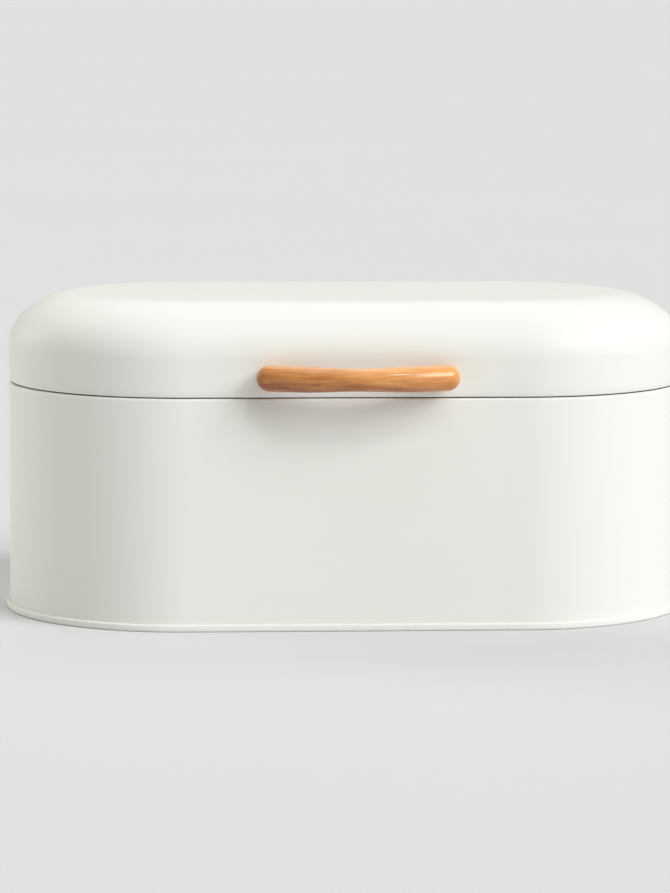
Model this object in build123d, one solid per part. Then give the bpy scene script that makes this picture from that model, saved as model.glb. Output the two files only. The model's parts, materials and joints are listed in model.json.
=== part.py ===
from build123d import *
import math
import os

# Bread box of powder-coated sheet steel, with a domed lid hinged at the back and a bowed wooden
# handle on the lid's front. Sizes are in millimetres: X runs along the box, Y to its back and
# Z up from the shelf. The plan is two half circles joined by straight sides, and the pieces
# are drawn round the middle of that plan.

# Overall form
length = 420.0
depth = 216.0
overall_height = 197.0
lid_height = 54.9
sheet = 0.6

# Joint line between the body and the lid
seam_gap = 0.7
shoulder_bend = 0.5
neck_step = 2.4
neck_height = 7.5
lid_hem_height = 5.0
rim_bend = 0.5

# Dome of the lid: two arcs that run into one another, from the skirt to the flat top
dome_low_radius = 26.0
dome_low_turn = 50.0
dome_high_radius = 55.0

# Folded seam that joins the base to the wall
fold_height = 4.6
fold_gap = 0.1
fold_bend = 0.6
panel_height = 5.2

# Lock seam that closes the wall at the middle of its back
lock_width = 7.0
lock_layers = 3
lock_groove_width = 0.5
lock_groove_depth = 0.2

# Hinges: leaves welded to the sheet and rolled round a fixed pin, with the lid's in the middle
hinge_spacing = 144.0
leaf_width = 30.0
leaf_thickness = 0.9
leaf_reach = 17.0
leaf_corner = 4.0
pin_radius = 1.3
pin_clearance = 0.05
knuckle_gap = 0.3
middle_knuckle_width = 10.0
leaf_notch_gap = 0.5

# Heel on the lid's knuckle, which meets the body's leaf when the lid is fully open
lid_opening = 100.0
heel_reach = 4.4
heel_thickness = 1.6
heel_clearance = 0.2

# Handle: a round wooden bow with ball-shaped ends, on a short round foot at each end
handle_length = 121.4
handle_diameter = 15.0
handle_reach = 28.0
end_reach = 10.5
foot_diameter = 13.0
handle_above_seam = 13.4

# Screws that hold the handle from inside the lid
screw_radius = 2.0
screw_clearance = 0.3
screw_depth = 9.0
screw_tip = 2.0
pilot_clearance = 0.05
pilot_spare_depth = 0.5
screw_head_radius = 3.6
screw_head_height = 2.2
washer_radius = 4.5
washer_thickness = 0.8

# Sizes that follow from those above
end_radius = depth / 2
flat_half = length / 2 - end_radius
rim_height = overall_height - lid_height
seam_height = rim_height - seam_gap
knuckle_bore = pin_radius + pin_clearance
knuckle_radius = knuckle_bore + leaf_thickness
hinge_y = end_radius + knuckle_radius
hinge_z = seam_height + seam_gap / 2
leaf_notch = knuckle_radius + leaf_notch_gap
outer_knuckle_width = (leaf_width - middle_knuckle_width) / 2 - knuckle_gap / 2
handle_radius = handle_diameter / 2
handle_z = seam_height + handle_above_seam
foot_x = handle_length / 2 - handle_radius
heel_face = heel_clearance - knuckle_radius + leaf_thickness
heel_turn = math.radians(lid_opening)
heel_back = heel_reach * math.sin(heel_turn) + heel_face * math.cos(heel_turn)
frame_shift = (handle_reach - knuckle_radius - heel_back) / 2

# A section is drawn as distance from the plan's spine against height
section_plane = Plane(origin=(0, 0, 0), x_dir=(0, 1, 0), z_dir=(1, 0, 0))
hinge_plane = Plane(origin=(0, hinge_y, hinge_z), x_dir=(0, 1, 0), z_dir=(1, 0, 0))


def outline(corners):
    """Make a face from corners, each (distance from the spine, height)."""
    return make_face(Polyline(*corners, close=True))


def around(section):
    """Carry a section along both straight sides and round both ends of the plan."""
    drawn = section_plane * section
    back = extrude(drawn, amount=flat_half, both=True)
    right = Pos(flat_half, 0, 0) * revolve(drawn, Axis.Z, -180)
    left = Pos(-flat_half, 0, 0) * revolve(drawn, Axis.Z, 180)
    return (back + mirror(back, Plane.XZ) + right + left).clean()


def body_wall():
    """Bend the wall: a hook at the foot, a stepped neck at the top, and its ends locked together."""
    outer = end_radius
    inner = outer - sheet
    neck = outer - neck_step
    neck_top = seam_height + neck_height
    ledge_low = seam_height - sheet
    hook_low = sheet + fold_gap
    hook_high = fold_height - sheet - fold_gap
    hook_in = outer + sheet + 2 * fold_gap
    wall = around(
        outline(
            [
                (inner, hook_low),
                (hook_in + sheet, hook_low),
                (hook_in + sheet, hook_high),
                (hook_in, hook_high),
                (hook_in, hook_low + sheet),
                (outer, hook_low + sheet),
                (outer, seam_height - shoulder_bend),
                (outer - shoulder_bend, seam_height),
                (neck, seam_height),
                (neck, neck_top),
                (neck - 2 * sheet, neck_top),
                (neck - 2 * sheet, ledge_low),
                (inner, ledge_low),
            ]
        )
    )
    lock_low = panel_height + 2 * sheet
    lock_thickness = (lock_layers - 1) * sheet
    lock_height = ledge_low - lock_low
    lock_middle = lock_low + lock_height / 2
    wall += Pos(0, inner - lock_thickness / 2, lock_middle) * Box(
        lock_width, lock_thickness, lock_height
    )
    groove_x = lock_width / 2
    return wall - Pos(groove_x, outer, lock_middle) * Box(
        lock_groove_width, 2 * lock_groove_depth, lock_height
    )


def base_pan():
    """Press the base: a flat panel, and an edge folded over the wall's hook."""
    inner = end_radius - sheet - fold_gap
    hook_in = end_radius + fold_gap
    fold_out = hook_in + 3 * sheet + 2 * fold_gap
    hook_low = 2 * sheet + 2 * fold_gap
    return around(
        outline(
            [
                (inner - sheet, 0),
                (fold_out - fold_bend, 0),
                (fold_out, fold_bend),
                (fold_out, fold_height - fold_bend),
                (fold_out - fold_bend, fold_height),
                (hook_in, fold_height),
                (hook_in, hook_low),
                (hook_in + sheet, hook_low),
                (hook_in + sheet, fold_height - sheet),
                (fold_out - sheet, fold_height - sheet),
                (fold_out - sheet, sheet),
                (inner, sheet),
                (inner, panel_height + sheet),
                (0, panel_height + sheet),
                (0, panel_height),
                (inner - sheet, panel_height),
            ]
        )
    )


def dome_section():
    """Draw the lid's sheet: a hemmed skirt, then the arcs of the dome up to the flat top."""
    turn = math.radians(dome_low_turn)
    apart = dome_high_radius - dome_low_radius
    skirt_top = overall_height - dome_high_radius + apart * math.sin(turn)
    low_centre = (end_radius - dome_low_radius, skirt_top)
    high_centre = (low_centre[0] - apart * math.cos(turn), overall_height - dome_high_radius)
    edges = []
    for inward in (0, sheet):
        top = overall_height - inward
        edges.append(CenterArc(low_centre, dome_low_radius - inward, 0, dome_low_turn))
        high_turn = 90 - dome_low_turn
        edges.append(CenterArc(high_centre, dome_high_radius - inward, dome_low_turn, high_turn))
        edges.append(Line((high_centre[0], top), (0, top)))
    edges.append(Line((0, overall_height - sheet), (0, overall_height)))
    inner = end_radius - sheet
    hem = end_radius - 2 * sheet
    hem_top = rim_height + lid_hem_height
    rim = Polyline(
        (end_radius, skirt_top),
        (end_radius, rim_height + rim_bend),
        (end_radius - rim_bend, rim_height),
        (hem, rim_height),
        (hem, hem_top),
        (inner, hem_top),
        (inner, skirt_top),
    )
    return make_face(edges + [rim])


def lid_shell():
    """Draw the lid in one piece and drill its skirt for the handle's screws."""
    lid = around(dome_section())
    for x in (-foot_x, foot_x):
        lid -= Pos(x, -end_radius, handle_z) * Rot(90, 0, 0) * Cylinder(
            screw_radius + screw_clearance, 4 * sheet
        )
    return lid


def knuckle(middle, width):
    """Roll one knuckle, with the start of the leaf below it, centred on middle."""
    ring = Circle(knuckle_radius) - Circle(knuckle_bore)
    stem = Pos(-knuckle_radius + leaf_thickness / 2, -leaf_notch / 2) * Rectangle(
        leaf_thickness, leaf_notch
    )
    return Pos(middle - width / 2, 0, 0) * extrude(hinge_plane * (ring + stem), amount=width)


def plate(x):
    """Cut one leaf's plate, which stands on the sheet below its knuckles, with rounded corners."""
    height = leaf_reach - leaf_notch
    blank = Rectangle(leaf_width, height)
    blank = fillet(blank.vertices().group_by(Axis.Y)[0], leaf_corner)
    back = end_radius + leaf_thickness
    drawn = Plane.XZ.offset(-back) * Pos(x, hinge_z - leaf_notch - height / 2) * blank
    return extrude(drawn, amount=leaf_thickness)


def hinge_body_leaf(x):
    """Join the body's leaf to its two outer knuckles."""
    aside = (leaf_width - outer_knuckle_width) / 2
    leaf = plate(x)
    for middle in (x - aside, x + aside):
        leaf += knuckle(middle, outer_knuckle_width)
    return leaf.clean()


def hinge_lid_leaf(x):
    """Turn the same leaf upright, with one middle knuckle and the heel that stops the lid."""
    width = middle_knuckle_width - knuckle_gap
    upright = plate(x) + knuckle(x, width)
    leaf = mirror(upright, Plane.XY.offset(hinge_z))
    heel = Pos(heel_face + heel_thickness / 2, -heel_reach / 2) * Rectangle(
        heel_thickness, heel_reach
    )
    heel = Rot(0, 0, lid_opening) * heel - Circle(knuckle_bore)
    leaf += Pos(x - width / 2, 0, 0) * extrude(hinge_plane * heel, amount=width)
    return leaf.clean()


def hinge_pin(x):
    """Make the pin that the body's knuckles hold, flush with their ends."""
    return Pos(x, hinge_y, hinge_z) * Rot(0, 90, 0) * Cylinder(pin_radius, leaf_width)


def handle():
    """Bow a round bar, round its ends and stand each on a foot with a pilot hole for its screw."""
    middle_y = handle_radius - handle_reach - end_radius
    sag = handle_reach - handle_radius - end_reach
    bow_radius = (foot_x**2 + sag**2) / (2 * sag)
    bow_turn = math.degrees(math.atan2(foot_x, bow_radius - sag))
    start = Plane(origin=(0, middle_y, handle_z), z_dir=(1, 0, 0))
    bow_axis = Axis((0, middle_y + bow_radius, 0), (0, 0, 1))
    bow = revolve(start * Circle(handle_radius), bow_axis, 2 * bow_turn)
    bar = bow.rotate(bow_axis, -bow_turn)

    hole = screw_depth + pilot_spare_depth
    for x in (-foot_x, foot_x):
        bar += Pos(x, -end_reach - end_radius, handle_z) * Sphere(handle_radius)
        foot = Pos(x, -end_reach / 2 - end_radius, handle_z) * Rot(90, 0, 0)
        bar += foot * Cylinder(foot_diameter / 2, end_reach)
        pilot = Pos(x, -hole / 2 - end_radius, handle_z) * Rot(90, 0, 0)
        bar -= pilot * Cylinder(screw_radius + pilot_clearance, hole)
    return bar


def handle_screw(x):
    """Turn one pan-headed screw, driven forward through the washer and the lid's skirt."""
    seat = washer_thickness + sheet
    profile = outline(
        [
            (0, -screw_head_height),
            (screw_head_radius, -screw_head_height),
            (screw_head_radius, 0),
            (screw_radius, 0),
            (screw_radius, seat + screw_depth - screw_tip),
            (0, seat + screw_depth),
        ]
    )
    screw = revolve(profile, Axis.Y)
    return Pos(x, seat - end_radius, handle_z) * Rot(0, 0, 180) * screw


def handle_washer(x):
    """Make the washer that spreads one screw's load over the thin skirt."""
    ring = Cylinder(washer_radius, washer_thickness) - Cylinder(
        screw_radius + screw_clearance, washer_thickness
    )
    return Pos(x, sheet + washer_thickness / 2 - end_radius, handle_z) * Rot(90, 0, 0) * ring


os.makedirs("parts", exist_ok=True)
feet = (-foot_x, foot_x)
nodes = {
    "body_wall": [body_wall()],
    "base_pan": [base_pan()],
    "lid_shell": [lid_shell()],
    "handle": [handle()],
    "handle_screws": [handle_screw(x) for x in feet],
    "handle_washers": [handle_washer(x) for x in feet],
}
for side, x in (("left", -hinge_spacing / 2), ("right", hinge_spacing / 2)):
    nodes["hinge_body_leaf_" + side] = [hinge_body_leaf(x)]
    nodes["hinge_lid_leaf_" + side] = [hinge_lid_leaf(x)]
    nodes["hinge_pin_" + side] = [hinge_pin(x)]

# The frame's origin lies on the shelf under the middle of the whole box, handle and hinges too
for name, pieces in nodes.items():
    placed = [Pos(0, frame_shift, 0) * piece for piece in pieces]
    export_step(Compound(children=placed), "parts/" + name + ".step")
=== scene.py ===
import json
import math

import bmesh
import bpy
from mathutils import Euler, Matrix, Vector


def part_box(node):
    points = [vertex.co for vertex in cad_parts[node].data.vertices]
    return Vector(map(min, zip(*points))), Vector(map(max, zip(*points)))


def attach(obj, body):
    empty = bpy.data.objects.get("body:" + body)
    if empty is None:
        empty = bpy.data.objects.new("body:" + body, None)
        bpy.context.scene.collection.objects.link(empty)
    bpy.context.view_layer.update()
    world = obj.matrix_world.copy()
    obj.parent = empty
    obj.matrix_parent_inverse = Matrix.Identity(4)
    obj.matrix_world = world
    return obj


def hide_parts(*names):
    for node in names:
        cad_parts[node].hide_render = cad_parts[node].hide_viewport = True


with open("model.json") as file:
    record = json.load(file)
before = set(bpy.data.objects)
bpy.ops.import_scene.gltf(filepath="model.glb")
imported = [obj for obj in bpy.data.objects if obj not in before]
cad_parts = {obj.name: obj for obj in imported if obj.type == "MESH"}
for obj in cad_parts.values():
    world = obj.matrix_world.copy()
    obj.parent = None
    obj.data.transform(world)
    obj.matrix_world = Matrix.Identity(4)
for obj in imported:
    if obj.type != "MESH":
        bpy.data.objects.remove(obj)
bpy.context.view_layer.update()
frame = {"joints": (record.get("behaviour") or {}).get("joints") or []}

# Body wall: one strip of 0.6 mm sheet steel, bent round to an oblong with half-round ends and
# locked to itself at the middle of the back. Its foot is hooked outwards for the base's seam, and
# its top is stepped in to a folded neck, which the lid closes over.
shell_low, shell_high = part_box("lid_shell")
end_radius = (shell_high.y - shell_low.y) / 2
flat_half = (shell_high.x - shell_low.x) / 2 - end_radius
plan_y = (shell_high.y + shell_low.y) / 2
sheet = 0.0006
joint_gap = 0.0007
lid_low = shell_low.z
joint_z = lid_low - joint_gap / 2
shoulder_z = lid_low - joint_gap
end_steps = 96
near = 1e-5


def start(name, distance, height, x=flat_half):
    """Begin a section with one point, at a distance from the plan's spine and a height."""
    bpy.ops.object.select_all(action="DESELECT")
    place = (x, plan_y - distance, height)
    bpy.ops.mesh.primitive_plane_add(size=sheet, location=place)
    bpy.ops.object.transform_apply(location=True)
    piece = bpy.context.object
    piece.name = piece.data.name = name
    bpy.ops.object.mode_set(mode="EDIT")
    bpy.ops.mesh.select_all(action="SELECT")
    bpy.ops.mesh.merge(type="CENTER")
    return piece


def selected_middle(piece):
    """Find the middle of the selected points."""
    points = [v.co for v in bmesh.from_edit_mesh(piece.data).verts if v.select]
    return sum(points, Vector()) / len(points)


def draw(piece, *places):
    """Extrude the section's last point to each place in turn."""
    for distance, height in places:
        here = selected_middle(piece)
        move = (0, plan_y - distance - here.y, height - here.z)
        bpy.ops.mesh.extrude_region_move(TRANSFORM_OT_translate={"value": move})


def pick(piece, chosen):
    """Select the points for which chosen(place) is true, and what lies between them."""
    mesh = bmesh.from_edit_mesh(piece.data)
    for v in mesh.verts:
        v.select = chosen(v.co)
    mesh.select_flush(True)
    mesh.select_flush(False)
    bmesh.update_edit_mesh(piece.data)


def soften(piece, radius, *places, steps=4):
    """Round the section's corners at the given places."""

    def at_a_place(co):
        return any(
            abs(plan_y - distance - co.y) < near and abs(height - co.z) < near
            for distance, height in places
        )

    pick(piece, at_a_place)
    bpy.ops.mesh.bevel(offset=radius, segments=steps, affect="VERTICES")


def carry_round(piece):
    """Take the section round one end, along the front, round the other end and back."""
    bpy.ops.mesh.select_all(action="SELECT")
    for middle, along in ((flat_half, -2 * flat_half), (-flat_half, 2 * flat_half)):
        bpy.ops.mesh.spin(
            steps=end_steps, angle=-math.pi, center=(middle, plan_y, 0), axis=(0, 0, 1)
        )
        bpy.ops.mesh.extrude_region_move(TRANSFORM_OT_translate={"value": (along, 0, 0)})
    close(piece)


def close(piece):
    """Merge what meets, turn every face outwards and shade the piece smooth between its edges."""
    bpy.ops.mesh.select_all(action="SELECT")
    bpy.ops.mesh.remove_doubles(threshold=1e-6)
    bpy.ops.mesh.normals_make_consistent(inside=False)
    bpy.ops.object.mode_set(mode="OBJECT")
    bpy.ops.object.shade_smooth_by_angle(angle=math.radians(35))


neck_step = 0.0024
neck = end_radius - neck_step
neck_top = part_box("body_wall")[1].z
neck_inner = neck - 2 * sheet
# The neck's points up to the first of these heights carry the joint's dark painted shade, which
# fades out by the second.
painted_shade_top = lid_low + 0.0006
painted_shade_fade_end = painted_shade_top + 0.0005
shoulder_bend = 0.0016
step_bend = 0.0004
fold_bend = 0.00055
hook_bend = 0.0005
fold_gap = 0.0001
wall_inner = end_radius - sheet
hook_inner = end_radius + sheet + 2 * fold_gap
hook_outer = hook_inner + sheet
hook_low = 0.0007
hook_high = 0.0035
wall = start("wall", wall_inner, hook_low)
draw(
    wall,
    (hook_outer, hook_low),
    (hook_outer, hook_high),
    (hook_inner, hook_high),
    (hook_inner, hook_low + sheet),
    (end_radius, hook_low + sheet),
    (end_radius, shoulder_z),
    (neck, shoulder_z),
    (neck, painted_shade_top),
    (neck, painted_shade_fade_end),
    (neck, neck_top),
    (neck_inner, neck_top),
    (neck_inner, shoulder_z - sheet),
    (wall_inner, shoulder_z - sheet),
)
pick(wall, lambda co: abs(plan_y - wall_inner - co.y) < near)
bpy.ops.mesh.edge_face_add()
soften(wall, shoulder_bend, (end_radius, shoulder_z), steps=8)
soften(wall, shoulder_bend - sheet, (wall_inner, shoulder_z - sheet), steps=6)
soften(wall, step_bend, (neck, shoulder_z), (neck_inner, shoulder_z - sheet))
soften(wall, fold_bend, (neck, neck_top), (neck_inner, neck_top))
soften(wall, hook_bend, (hook_outer, hook_low), steps=3)
carry_round(wall)

back_y = plan_y + end_radius
lock_width = 0.007
lock_low = 0.0064
lock_high = shoulder_z - sheet
lock_bend = 0.0004
groove_half = 0.00025
groove_depth = 0.0002
groove_x = lock_width / 2
bpy.ops.object.mode_set(mode="EDIT")
for x in (groove_x - groove_half, groove_x + groove_half):
    pick(wall, lambda co: abs(co.y - back_y) < near and hook_low < co.z < lock_high)
    bpy.ops.mesh.bisect(plane_co=(x, 0, 0), plane_no=(1, 0, 0))
pick(wall, lambda co: abs(co.x - groove_x) < 2 * groove_half and abs(co.y - back_y) < near)
bpy.ops.mesh.extrude_region_move(TRANSFORM_OT_translate={"value": (0, -groove_depth, 0)})
bpy.ops.mesh.select_all(action="DESELECT")
bpy.ops.mesh.primitive_cube_add(size=1)
bpy.ops.transform.resize(value=(lock_width, 2 * sheet, lock_high - lock_low))
bpy.ops.transform.translate(value=(0, back_y - 2 * sheet, (lock_high + lock_low) / 2))
bpy.ops.mesh.bevel(offset=lock_bend, segments=3)
close(wall)


def from_the_spine(place):
    """Measure how far out a place lies from the plan's middle line."""
    return math.hypot(max(abs(place.x) - flat_half, 0), place.y - plan_y)


def under_the_rim(place):
    """Say whether a place lies in the joint under the lid's rim, on the neck and its ledge, where
    dark painted shade goes.
    """
    on_the_neck = neck - near < from_the_spine(place) < end_radius - shoulder_bend + 10 * near
    return on_the_neck and shoulder_z - near < place.z < painted_shade_top + near


# Mark the joint's points for a dark painted shade, which deepens the shadow in the gap under the
# lid's rim.
painted_joint_shade = wall.data.attributes.new("painted_joint_shade", "FLOAT", "POINT")
for point, value in zip(wall.data.vertices, painted_joint_shade.data):
    value.value = under_the_rim(point.co)


class Signal:
    """A number that changes over a surface, and that adds and multiplies as numbers do."""

    def __init__(self, finish, socket):
        self.finish = finish
        self.socket = socket

    def maths(self, operation, *values):
        inputs = dict(enumerate(values))
        return self.finish.node("ShaderNodeMath", {"operation": operation}, inputs)

    def __add__(self, other):
        return self.maths("ADD", self, other)

    def __sub__(self, other):
        return self.maths("SUBTRACT", self, other)

    def __rsub__(self, other):
        return self.maths("SUBTRACT", other, self)

    def __mul__(self, other):
        return self.maths("MULTIPLY", self, other)

    __radd__ = __add__
    __rmul__ = __mul__


class Finish:
    """A material that is made of nodes, with its shader's fixed values given by name."""

    def __init__(self, name, **fixed):
        self.material = bpy.data.materials.new(name)
        self.material.use_nodes = True
        self.tree = self.material.node_tree
        self.shader = self.tree.nodes["Principled BSDF"]
        for socket, value in fixed.items():
            self.shader.inputs[socket.replace("_", " ")].default_value = value

    def node(self, kind, settings=None, inputs=None, output=0):
        """Add a node, make its settings, feed its sockets and give back one of its outputs."""
        made = self.tree.nodes.new(kind)
        for setting, value in (settings or {}).items():
            setattr(made, setting, value)
        self.feed(made, inputs or {})
        return Signal(self, made.outputs[output])

    def feed(self, node, inputs):
        for socket, value in inputs.items():
            if isinstance(value, Signal):
                self.tree.links.new(value.socket, node.inputs[socket])
            else:
                node.inputs[socket].default_value = value

    def places(self, stretch=(1, 1, 1)):
        """Give the piece's own coordinates in metres, stretched along its axes."""
        where = self.node("ShaderNodeTexCoord", output="Object")
        return self.node("ShaderNodeMapping", inputs={"Vector": where, "Scale": stretch})

    def noise(self, where, scale, detail=2.0, distortion=0.0):
        """Give a cloudy value that lies about one half."""
        inputs = {"Vector": where, "Scale": scale, "Detail": detail, "Distortion": distortion}
        return self.node("ShaderNodeTexNoise", inputs=inputs)

    def blend(self, factor, one, other):
        """Mix two colours."""
        inputs = {0: factor, 6: one, 7: other}
        return self.node("ShaderNodeMix", {"data_type": "RGBA"}, inputs, output=2)

    def surface(self, bump=None, depth=0.0, **changing):
        """Feed the shader, and let a bump with a depth in metres turn its normal."""
        self.feed(self.shader, {name.replace("_", " "): v for name, v in changing.items()})
        if bump:
            inputs = {"Height": bump, "Distance": depth}
            self.feed(self.shader, {"Normal": self.node("ShaderNodeBump", inputs=inputs)})


def powder_coat(name, colour, deeper, painted_joint_shade=None):
    """Mix a matt, warm white powder coat with a fine orange peel and hardly any clouding, and,
    where a mask is given, a near-black painted shade in the joint under the lid's rim.
    """
    coat = Finish(name, Specular_IOR_Level=0.15, IOR=1.5)
    here = coat.places()
    cloud = coat.noise(here, 9.0, detail=3.0)
    peel = coat.noise(here, 650.0, detail=1.0)
    pores = coat.noise(here, 2600.0)
    tone = coat.blend(cloud, colour, deeper)
    if painted_joint_shade:
        painted_shade_share = coat.node("ShaderNodeAttribute", {"attribute_name": painted_joint_shade}, output="Fac")
        # Painted shade: a near-black tone laid on the joint under the lid's rim to darken its
        # shadow.
        painted_shade_tone = (0.11, 0.105, 0.08, 1)
        tone = coat.blend(painted_shade_share * (0.8 + 0.3 * peel), tone, painted_shade_tone)
    coat.surface(
        bump=peel + 0.25 * pores,
        depth=0.00002,
        Base_Color=tone,
        Roughness=0.37 + 0.07 * cloud + 0.05 * peel,
    )
    return coat.material


def dress(piece, body, material, node):
    """Give a finished piece its material, its body and the node that it stands for."""
    piece.data.materials.clear()
    piece.data.materials.append(material)
    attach(piece, body)
    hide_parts(node)


cream = ((0.885, 0.885, 0.855, 1), (0.87, 0.87, 0.835, 1))
wall_coat = powder_coat("wall_powder_coat", *cream, painted_joint_shade="painted_joint_shade")
dress(wall, "body", wall_coat, "body_wall")

# Base: a pan pressed from the same sheet. Its edge is folded over the wall's hook in a double
# seam, which makes the slim bead that shows all round the foot, and its panel lies a little above
# the worktop.
pan_inner = wall_inner - fold_gap
bead_inner = end_radius + fold_gap
bead_outer = bead_inner + 3 * sheet + 2 * fold_gap
bead_top = 0.0046
bead_bend = 0.0014
tongue_low = 0.0014
foot_bend = 0.0003
panel_low = 0.0052
panel_bend = 0.0005
pan = start("base", 0, panel_low)
draw(
    pan,
    (pan_inner - sheet, panel_low),
    (pan_inner - sheet, 0),
    (bead_outer, 0),
    (bead_outer, bead_top),
    (bead_inner, bead_top),
    (bead_inner, tongue_low),
    (bead_inner + sheet, tongue_low),
    (bead_inner + sheet, bead_top - sheet),
    (bead_outer - sheet, bead_top - sheet),
    (bead_outer - sheet, sheet),
    (pan_inner, sheet),
    (pan_inner, panel_low + sheet),
    (0, panel_low + sheet),
)
soften(pan, bead_bend, (bead_outer, 0), (bead_outer, bead_top), steps=8)
soften(pan, 0.5 * bead_bend, (bead_outer - sheet, bead_top - sheet), (bead_outer - sheet, sheet))
soften(pan, foot_bend, (pan_inner - sheet, 0), steps=3)
soften(pan, panel_bend + sheet, (pan_inner - sheet, panel_low))
soften(pan, panel_bend, (pan_inner, panel_low + sheet), steps=3)
carry_round(pan)
shell_coat = powder_coat("shell_powder_coat", *cream)
dress(pan, "body", shell_coat, "base_pan")

# Lid: one shell drawn from the same sheet, with a straight skirt, a hem folded inwards round its
# rim and a soft dome: a tight bend at the skirt that opens into a wider one below the flat top.
low_radius = 0.026
low_turn = math.radians(50)
high_radius = 0.055
top = shell_high.z
high_centre_z = top - high_radius
skirt_top = high_centre_z + (high_radius - low_radius) * math.sin(low_turn)
low_centre = end_radius - low_radius
high_centre = low_centre - (high_radius - low_radius) * math.cos(low_turn)
hem = end_radius - 2 * sheet
hem_top = lid_low + 0.005
hem_bend = 0.0005
tuck = 0.0006
tuck_top = lid_low + 0.0024
tuck_bend = 0.0015


def arch(distance, height, turn):
    """Bend the section's last point round a centre at a distance and a height."""
    centre = (flat_half, plan_y - distance, height)
    bpy.ops.mesh.spin(steps=16, angle=turn, center=centre, axis=(1, 0, 0))


lid = start("lid", 0, top - sheet)
draw(lid, (high_centre, top - sheet))
arch(high_centre, high_centre_z, low_turn - math.pi / 2)
arch(low_centre, skirt_top, -low_turn)
draw(
    lid,
    (wall_inner, hem_top),
    (hem, hem_top),
    (hem, tuck_top),
    (hem - tuck, lid_low),
    (end_radius - tuck, lid_low),
    (end_radius, tuck_top),
    (end_radius, skirt_top),
)
arch(low_centre, skirt_top, low_turn)
arch(high_centre, high_centre_z, math.pi / 2 - low_turn)
draw(lid, (0, top))
soften(lid, tuck_bend, (end_radius, tuck_top), steps=5)
soften(lid, hem_bend, (hem - tuck, lid_low), (end_radius - tuck, lid_low), steps=5)
carry_round(lid)
dress(lid, "lid", shell_coat, "lid_shell")

# Handle: a round bow of oiled beech, turned a little slimmer in the middle and to a ball at each
# end, then steamed and bent. Each end stands on a short foot, which is glued into the bow's back
# and drilled for its screw.
grip_low, grip_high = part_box("handle")
grip_z = (grip_high.z + grip_low.z) / 2
front_y = plan_y - end_radius
foot_x = grip_high.x - (grip_high.z - grip_low.z) / 2
end_reach = 0.0105
slim_radius = 0.00685
stout_radius = 0.00785
foot_radius = 0.0065
foot_height = 0.0062
foot_grain = 0.3
middle_y = grip_low.y + slim_radius
sag = front_y - end_reach - middle_y
bow_radius = (foot_x**2 + sag**2) / (2 * sag)
bow_turn = math.atan2(foot_x, bow_radius - sag)
bow_centre = Vector((0, middle_y + bow_radius, grip_z))
along = Vector((math.cos(bow_turn), math.sin(bow_turn), 0))
pilot_radius = 0.00205
pilot_depth = 0.0095
bow_steps = 32
ball_steps = 12


def cut(piece, tool, operation="DIFFERENCE"):
    """Cut a piece with a tool, or weld the tool to it, and throw the tool away."""
    bpy.ops.object.select_all(action="DESELECT")
    bpy.context.view_layer.objects.active = piece
    bpy.ops.object.modifier_add(type="BOOLEAN")
    piece.modifiers["Boolean"].object = tool
    piece.modifiers["Boolean"].operation = operation
    bpy.ops.object.modifier_apply(modifier="Boolean")
    bpy.data.objects.remove(tool)


def add_its_mirror_image(piece):
    """Give a piece its other half, or its fellow, on the box's left."""
    bpy.context.view_layer.objects.active = piece
    bpy.ops.object.modifier_add(type="MIRROR")
    bpy.ops.object.modifier_apply(modifier="Mirror")
    bpy.ops.object.mode_set(mode="EDIT")
    close(piece)


def swell(piece, factor):
    """Make the section's last ring thicker or slimmer."""
    middle = selected_middle(piece)
    bpy.ops.transform.resize(value=(factor, factor, factor), center_override=middle)


def bow_thickness(part):
    """Give the bow's radius at a part of the way from its middle to its end."""
    part = min(1.5 * part, 1)
    return slim_radius + (stout_radius - slim_radius) * part**2 * (3 - 2 * part)


bpy.ops.object.select_all(action="DESELECT")
bpy.ops.mesh.primitive_circle_add(
    vertices=48, radius=slim_radius, location=(0, middle_y, grip_z), rotation=(0, math.pi / 2, 0)
)
bpy.ops.object.transform_apply(location=True, rotation=True)
grip = bpy.context.object
grip.name = grip.data.name = "grip"
bpy.ops.object.mode_set(mode="EDIT")
bpy.ops.mesh.select_all(action="SELECT")
for step in range(bow_steps):
    bpy.ops.mesh.spin(steps=1, angle=-bow_turn / bow_steps, center=bow_centre, axis=(0, 0, 1))
    swell(grip, bow_thickness((step + 1) / bow_steps) / bow_thickness(step / bow_steps))
for step in range(ball_steps):
    here, there = (math.pi / 2 * turn / ball_steps for turn in (step, step + 1))
    move = stout_radius * (math.sin(there) - math.sin(here)) * along
    bpy.ops.mesh.extrude_region_move(TRANSFORM_OT_translate={"value": move})
    swell(grip, max(math.cos(there), 0.001) / math.cos(here))
bpy.ops.mesh.merge(type="CENTER")
bpy.ops.object.mode_set(mode="OBJECT")
add_its_mirror_image(grip)
for x in (-foot_x, foot_x):
    for radius, length, y, operation in (
        (foot_radius, end_reach, front_y - end_reach / 2, "UNION"),
        (pilot_radius, 2 * pilot_depth, front_y, "DIFFERENCE"),
    ):
        bpy.ops.mesh.primitive_cylinder_add(
            vertices=48,
            radius=radius,
            depth=length,
            location=(x, y, grip_z),
            rotation=(math.pi / 2, 0, 0),
        )
        cut(grip, bpy.context.object, operation)
bpy.ops.object.mode_set(mode="EDIT")
close(grip)


def in_the_wood(place):
    """Say where a point lies in the straight bar or in its foot, so that the grain follows it."""
    x = abs(place.x)
    round_foot = math.hypot(x - foot_x, place.z - grip_z)
    if round_foot < foot_radius + near and place.y > front_y - foot_height:
        return foot_grain + place.y, x, place.z
    out = Vector((x, bow_centre.y - place.y))
    turn = min(math.atan2(out.x, out.y), bow_turn)
    depth = out.dot(Vector((math.sin(turn), math.cos(turn)))) - bow_radius
    beyond = out.dot(Vector((math.cos(turn), -math.sin(turn))))
    return math.copysign(bow_radius * turn + beyond, place.x), depth, place.z - grip_z


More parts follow.
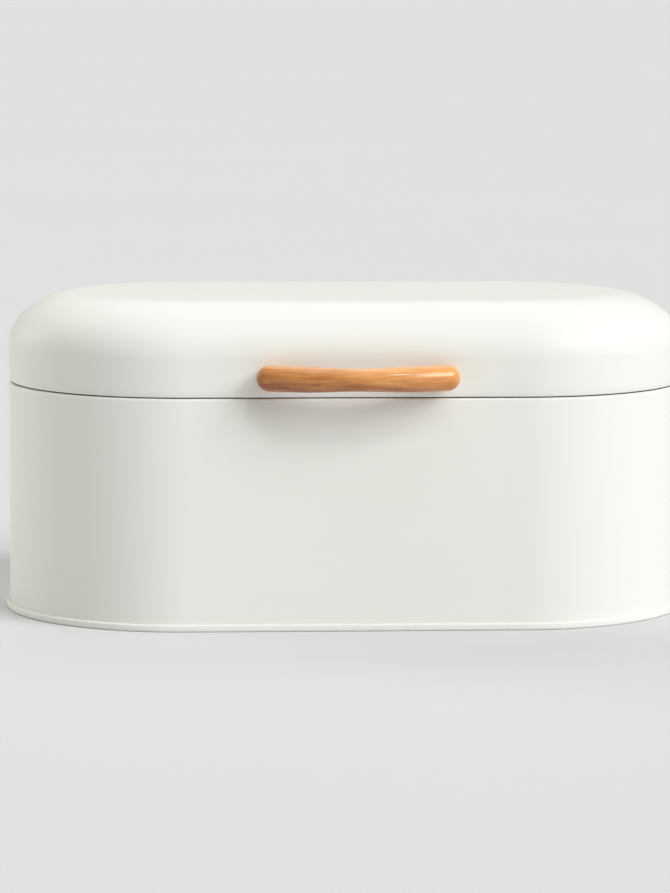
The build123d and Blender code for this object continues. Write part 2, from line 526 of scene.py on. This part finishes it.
fibre_places = grip.data.attributes.new("fibre_places", "FLOAT_VECTOR", "POINT")
for point, value in zip(grip.data.vertices, fibre_places.data):
    value.vector = in_the_wood(point.co)

wood = Finish("oiled_beech", Specular_IOR_Level=0.35, Coat_Roughness=0.1)
fibre = wood.node("ShaderNodeAttribute", {"attribute_name": "fibre_places"}, output="Vector")


def fibres(size, stretch, detail, distortion=0.0):
    """Draw streaks of a size in metres that run along the bar."""
    inputs = {"Vector": fibre, "Scale": (1 / stretch, 1, 1), "Location": (0.3, 0.1, 0.2)}
    lying = wood.node("ShaderNodeMapping", inputs=inputs)
    return wood.noise(lying, 1 / size, detail=detail, distortion=distortion)


bands = fibres(0.007, 5, 3.0, distortion=0.6)
streaks = fibres(0.0012, 16, 3.0, distortion=0.3)
flecks = fibres(0.0004, 7, 1.0)
# Painted light and shade: the blend between the dark and the pale wood follows height in the bar,
# paler on top and darker underneath, and a little paler towards its front. This comes on top of the
# grain's own bands.
painted_light_above_shade_below = wood.node(
    "ShaderNodeVectorMath", {"operation": "DOT_PRODUCT"}, {0: fibre, 1: (5, 0, 66)}, output="Value"
)
vivid = 2.2 * streaks - 0.6
dark_grain_and_painted_shade = wood.blend(vivid, (0.215, 0.058, 0.017, 1), (0.46, 0.147, 0.04, 1))
pale_grain_and_painted_light = wood.blend(vivid, (0.78, 0.29, 0.066, 1), (0.97, 0.5, 0.175, 1))
wood.surface(
    bump=streaks + 0.4 * flecks,
    depth=0.00004,
    Base_Color=wood.blend(painted_light_above_shade_below + 1.2 * bands + 0.2 * flecks - 0.13, dark_grain_and_painted_shade, pale_grain_and_painted_light),
    Roughness=0.28 + 0.16 * streaks,
    Coat_Weight=0.35 + 0.3 * bands,
)
dress(grip, "lid", wood.material, "handle")

# Handle screws and washers: zinc-plated steel. The pan-headed screws, with a cross recess, are
# driven from inside the lid through the washers and the skirt, into the handle's feet.
screw_radius = 0.002
screw_depth = 0.009
screw_tip = 0.002
head_radius = 0.0036
head_height = 0.0022
crown_radius = 0.7 * head_radius
crown_height = 0.6 * head_height
crown_bend = 0.0007
head_bend = 0.0005
recess = (0.0044, 0.0028, 0.0008)
washer_radius = 0.0045
washer_thickness = 0.0008
washer_bend = 0.0002
hole_radius = 0.0023
seat = end_radius - sheet - washer_thickness


def turn_about_the_screw(piece):
    """Take the section right round the right-hand screw's axis."""
    bpy.ops.mesh.select_all(action="SELECT")
    bpy.ops.mesh.spin(
        steps=40, angle=2 * math.pi, center=(foot_x, 0, grip_z), axis=(0, 1, 0)
    )
    close(piece)


screws = start("screws", seat - head_height, grip_z, foot_x)
draw(
    screws,
    (seat - head_height, grip_z + crown_radius),
    (seat - crown_height, grip_z + head_radius),
    (seat, grip_z + head_radius),
    (seat, grip_z + screw_radius),
    (end_radius + screw_depth - screw_tip, grip_z + screw_radius),
    (end_radius + screw_depth, grip_z),
)
soften(screws, crown_bend, (seat - head_height, grip_z + crown_radius))
soften(screws, head_bend, (seat - crown_height, grip_z + head_radius))
turn_about_the_screw(screws)
for turn in (0, math.pi / 2):
    bpy.ops.mesh.primitive_cube_add(
        size=1,
        location=(foot_x, plan_y - seat + head_height, grip_z),
        rotation=(0, turn, 0),
        scale=recess,
    )
    cut(screws, bpy.context.object)
add_its_mirror_image(screws)

washers = start("washers", seat, grip_z + hole_radius, foot_x)
rim = [(end_radius - sheet, grip_z + washer_radius), (seat, grip_z + washer_radius)]
draw(washers, (end_radius - sheet, grip_z + hole_radius), *rim, (seat, grip_z + hole_radius))
soften(washers, washer_bend, *rim, steps=3)
turn_about_the_screw(washers)
add_its_mirror_image(washers)

zinc = Finish("zinc_plate", Metallic=1.0)
turned = zinc.noise(zinc.places(stretch=(1, 0.2, 1)), 1400.0)
stain = zinc.noise(zinc.places(), 260.0)
zinc.surface(
    bump=turned,
    depth=0.00001,
    Base_Color=zinc.blend(stain, (0.60, 0.61, 0.62, 1), (0.72, 0.71, 0.68, 1)),
    Roughness=0.22 + 0.2 * turned,
)
dress(screws, "lid", zinc.material, "handle_screws")
dress(washers, "lid", zinc.material, "handle_washers")

# Hinges: two of them at the back, coated with the box. Each leaf is cut from 0.9 mm steel strip,
# with its tabs rolled round the pin, and spot-welded to the sheet. The lid's leaf has the middle
# knuckle and a heel that meets the body's leaf when the lid is fully open.
hinge_x = (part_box("hinge_body_leaf_left")[0].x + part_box("hinge_body_leaf_left")[1].x) / 2
leaf = 0.0009
pin_radius = 0.0013
pin_bend = 0.0003
pin_gap = 0.00005
knuckle_radius = pin_radius + pin_gap + leaf
leaf_half = 0.015
leaf_reach = 0.017
leaf_corner = 0.004
leaf_round = 0.00012
dimple_radius = 0.004
dimple_depth = 0.0002
notch_gap = 0.0005
notch = knuckle_radius + notch_gap
middle_half = 0.00485
knuckle_gap = 0.0003
aside = middle_half + knuckle_gap
roll = math.radians(300)
pin_y = back_y + knuckle_radius


def roll_leaf(name, up, stops, tabs):
    """Cut a leaf's blank, roll its tabs round the pin and give the sheet its thickness."""
    piece = start(name, -end_radius, joint_z - up * leaf_reach, hinge_x - leaf_half)
    for here, there in zip(stops, stops[1:]):
        bpy.ops.mesh.extrude_region_move(TRANSFORM_OT_translate={"value": (there - here, 0, 0)})
    bpy.ops.mesh.select_all(action="SELECT")
    rise = up * (leaf_reach - notch)
    bpy.ops.mesh.extrude_region_move(TRANSFORM_OT_translate={"value": (0, 0, rise)})
    shoulder = joint_z - up * notch
    for low, high in tabs:

        def at_the_tab(co):
            return abs(co.z - shoulder) < near and low - near < co.x - hinge_x < high + near

        pick(piece, at_the_tab)
        bpy.ops.mesh.extrude_region_move(TRANSFORM_OT_translate={"value": (0, 0, up * notch)})
        bpy.ops.mesh.spin(steps=30, angle=up * roll, center=(0, pin_y, joint_z), axis=(1, 0, 0))

    def at_a_far_corner(co):
        return min(abs(co.z - joint_z) - leaf_reach, abs(co.x - hinge_x) - leaf_half) > -near

    pick(piece, at_a_far_corner)
    bpy.ops.mesh.bevel(offset=leaf_corner, segments=8, affect="VERTICES")
    bpy.ops.mesh.select_all(action="SELECT")
    bpy.ops.mesh.normals_make_consistent(inside=False)
    flat = max(bmesh.from_edit_mesh(piece.data).faces, key=lambda face: face.calc_area())
    if flat.normal.y > 0:
        bpy.ops.mesh.flip_normals()
    bpy.ops.object.mode_set(mode="OBJECT")
    bpy.ops.object.modifier_add(type="SOLIDIFY")
    piece.modifiers["Solidify"].thickness = leaf
    piece.modifiers["Solidify"].use_even_offset = True
    bpy.ops.object.modifier_apply(modifier="Solidify")
    dimple_y = back_y + leaf + dimple_radius - dimple_depth
    for x in (hinge_x - leaf_half / 2, hinge_x + leaf_half / 2):
        bpy.ops.mesh.primitive_uv_sphere_add(
            segments=48,
            ring_count=48,
            radius=dimple_radius,
            location=(x, dimple_y, joint_z - up * 0.6 * leaf_reach),
            rotation=(math.pi / 2, 0, 0),
        )
        cut(piece, bpy.context.object)
    return piece


def bevel_its_edges(piece):
    """Take the sharpness off the edges, as a thick coat does."""
    bpy.ops.object.modifier_add(type="BEVEL")
    piece.modifiers["Bevel"].width = leaf_round
    piece.modifiers["Bevel"].segments = 2
    piece.modifiers["Bevel"].angle_limit = math.radians(50)
    bpy.ops.object.modifier_apply(modifier="Bevel")
    bpy.ops.object.mode_set(mode="EDIT")
    close(piece)


body_leaf = roll_leaf(
    "body_leaf_left",
    1,
    (-leaf_half, -aside, aside, leaf_half),
    ((-leaf_half, -aside), (aside, leaf_half)),
)
bevel_its_edges(body_leaf)

heel_reach = 0.0044
heel_thickness = 0.0016
heel_gap = 0.0002
heel_face = heel_gap - knuckle_radius + leaf
heel_tilt = math.radians(frame["joints"][0]["range_deg"][1] - 90)
heel_inside = pin_radius + leaf / 2
lid_leaf = roll_leaf(
    "lid_leaf_left",
    -1,
    (-leaf_half, -middle_half, middle_half, leaf_half),
    ((-middle_half, middle_half),),
)
heel_middle = Vector((0, (heel_reach + heel_inside) / 2, heel_face + heel_thickness / 2))
heel_middle.rotate(Euler((heel_tilt, 0, 0)))
bpy.ops.mesh.primitive_cube_add(
    size=1,
    location=Vector((hinge_x, pin_y, joint_z)) + heel_middle,
    rotation=(heel_tilt, 0, 0),
    scale=(2 * middle_half, heel_reach - heel_inside, heel_thickness),
)
cut(lid_leaf, bpy.context.object, "UNION")
bevel_its_edges(lid_leaf)

bpy.ops.object.select_all(action="DESELECT")
bpy.ops.mesh.primitive_cylinder_add(
    vertices=40,
    radius=pin_radius,
    depth=2 * leaf_half,
    location=(hinge_x, pin_y, joint_z),
    rotation=(0, math.pi / 2, 0),
)
bpy.ops.object.transform_apply(location=True, rotation=True)
pin = bpy.context.object
pin.name = pin.data.name = "pin_left"
bpy.ops.object.mode_set(mode="EDIT")
for side in (-1, 1):
    pick(pin, lambda co: side * (co.x - hinge_x) > 0)
    bpy.ops.mesh.bevel(offset=pin_bend, segments=4)
close(pin)


def copy_to_the_right(piece, name):
    """Copy a finished hinge piece, mesh and all, to the right-hand hinge."""
    bpy.ops.object.select_all(action="DESELECT")
    piece.select_set(True)
    bpy.context.view_layer.objects.active = piece
    bpy.ops.object.duplicate()
    bpy.ops.transform.translate(value=(-2 * hinge_x, 0, 0))
    bpy.ops.object.transform_apply(location=True)
    bpy.context.object.name = bpy.context.object.data.name = name
    return bpy.context.object


hinge_coat = powder_coat("hinge_powder_coat", (0.875, 0.875, 0.84, 1), (0.85, 0.85, 0.81, 1))
for piece, body, slot, material, node in (
    (body_leaf, "body", "hinge_coat", hinge_coat, "hinge_body_leaf_"),
    (lid_leaf, "lid", "hinge_coat", hinge_coat, "hinge_lid_leaf_"),
    (pin, "body", "steel", zinc.material, "hinge_pin_"),
):
    dress(piece, body, material, node + "left")
    twin = copy_to_the_right(piece, piece.name.replace("left", "right"))
    dress(twin, body, material, node + "right")

# Studio: a plain pale floor without an edge in view, a broad key light from the right in front, a
# small light above it that glints on the handle, weaker ones behind the left side, behind and
# overhead, and the camera in the photograph's place.
bpy.ops.object.select_all(action="DESELECT")
bpy.ops.mesh.primitive_plane_add(size=60, location=(0, 0, 0))
floor = bpy.context.object
floor.name = "floor"
paper = Finish("pale_paper", Roughness=0.9, Specular_IOR_Level=0.1)
clouds = paper.noise(paper.places(), 1.5)
paper.surface(Base_Color=paper.blend(clouds, (0.695, 0.685, 0.705, 1), (0.705, 0.695, 0.715, 1)))
floor.data.materials.append(paper.material)

world = bpy.data.worlds.new("studio")
world.use_nodes = True
bpy.context.scene.world = world
world.node_tree.nodes["Background"].inputs["Color"].default_value = (1, 0.98, 0.74, 1)
world.node_tree.nodes["Background"].inputs["Strength"].default_value = 0.205
for name, strength, colour, round_from_front, up, spread in (
    ("key", 2.07, (0.98, 0.99, 1), 54, 34, 32),
    ("glint", 0.4, (1, 0.99, 0.98), 27, 53, 9),
    ("rim", 1.3, (1, 0.99, 0.95), -121, 13, 40),
    ("back", 0.64, (0.94, 0.97, 1), 175, 52, 40),
    ("top", 0.62, (0.86, 0.93, 1), 0, 82, 40),
):
    bpy.ops.object.light_add(type="SUN", location=(0, 0, 2))
    lamp = bpy.context.object
    lamp.name = name
    lamp.data.energy = strength
    lamp.data.color = colour
    lamp.data.angle = math.radians(spread)
    lamp.rotation_euler = (math.radians(90 - up), 0, math.radians(round_from_front))

bpy.ops.object.camera_add(location=(-0.17252, plan_y - 2.61084, 0.42529))
camera = bpy.context.object
aim = Euler((math.pi / 2 - 0.1241, 0, -0.06353)).to_matrix()
camera.rotation_euler = (aim @ Matrix.Rotation(0.004, 3, "Z")).to_euler()
picture_height = 893
focal_length_in_pixels = 4204.5
camera.data.sensor_width = 36
camera.data.lens = focal_length_in_pixels * camera.data.sensor_width / picture_height
camera.data.clip_end = 100
bpy.context.scene.camera = camera
bpy.context.scene.view_settings.view_transform = "Standard"
